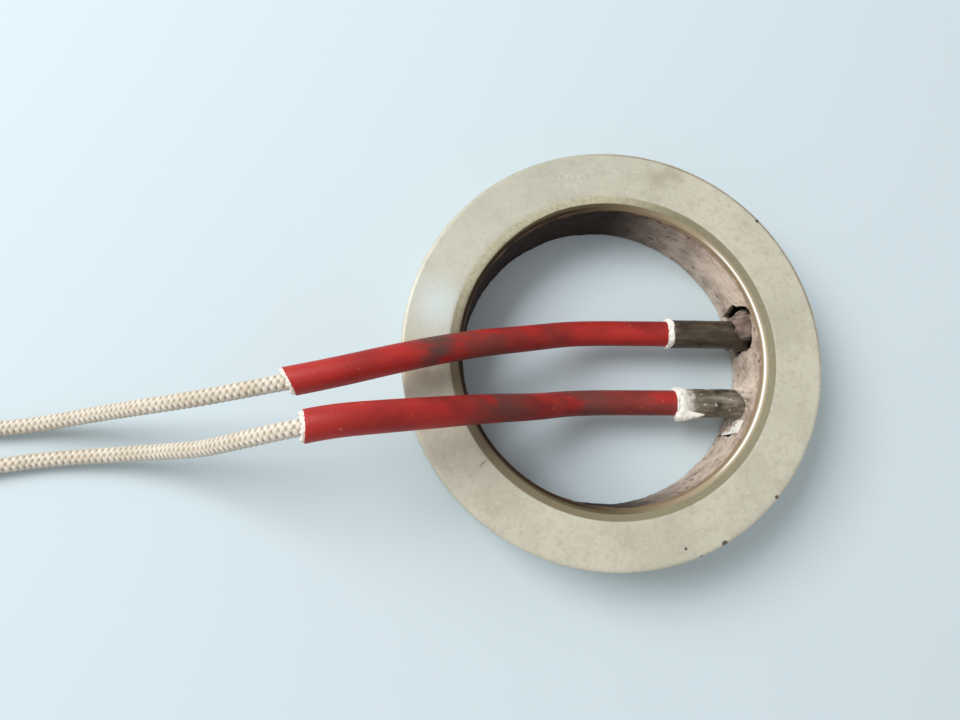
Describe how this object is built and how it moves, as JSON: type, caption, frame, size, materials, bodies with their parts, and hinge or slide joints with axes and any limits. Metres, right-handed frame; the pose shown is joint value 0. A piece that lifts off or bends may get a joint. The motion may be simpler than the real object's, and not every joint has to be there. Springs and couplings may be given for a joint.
{
  "type": "band heater",
  "caption": "Flat aluminium ring heater with a cast-in tubular element whose two sleeved leads come out through pockets in the bore wall.",
  "frame": {"origin": "centre of the ring's back face, on the ring's axis", "axes": "+Z along the ring's axis, out of its front face; +X towards the pockets that the leads come out of"},
  "size_m": [0.2944, 0.09, 0.037],
  "materials": {
    "ring_casting": "cast aluminium with a satin machined face",
    "element_sheath": "heat-darkened steel tube",
    "cement": "white ceramic cement",
    "filling": "packed magnesium oxide powder",
    "nickel_wire": "drawn nickel wire",
    "crimped_metal": "tinned, crimped",
    "lead_braid": "braided glass yarn",
    "sleeve_coat": "silicone-coated glass sleeving, dark red"
  },
  "bodies": {
    "root": {"ring_casting": "ring_casting", "pocket_cement_lower": "cement", "element_sheath_upper": "element_sheath", "terminal_pin_upper": "nickel_wire", "mgo_plug_upper": "filling", "end_seal_upper": "cement", "crimp_ferrule_upper": "crimped_metal", "conductor_upper": "nickel_wire", "lead_upper": "lead_braid", "sleeve_upper": "sleeve_coat", "pin_terminal_upper": "crimped_metal", "element_sheath_lower": "element_sheath", "terminal_pin_lower": "nickel_wire", "mgo_plug_lower": "filling", "end_seal_lower": "cement", "crimp_ferrule_lower": "crimped_metal", "conductor_lower": "nickel_wire", "lead_lower": "lead_braid", "sleeve_lower": "sleeve_coat", "pin_terminal_lower": "crimped_metal"}
  },
  "joints": []
}
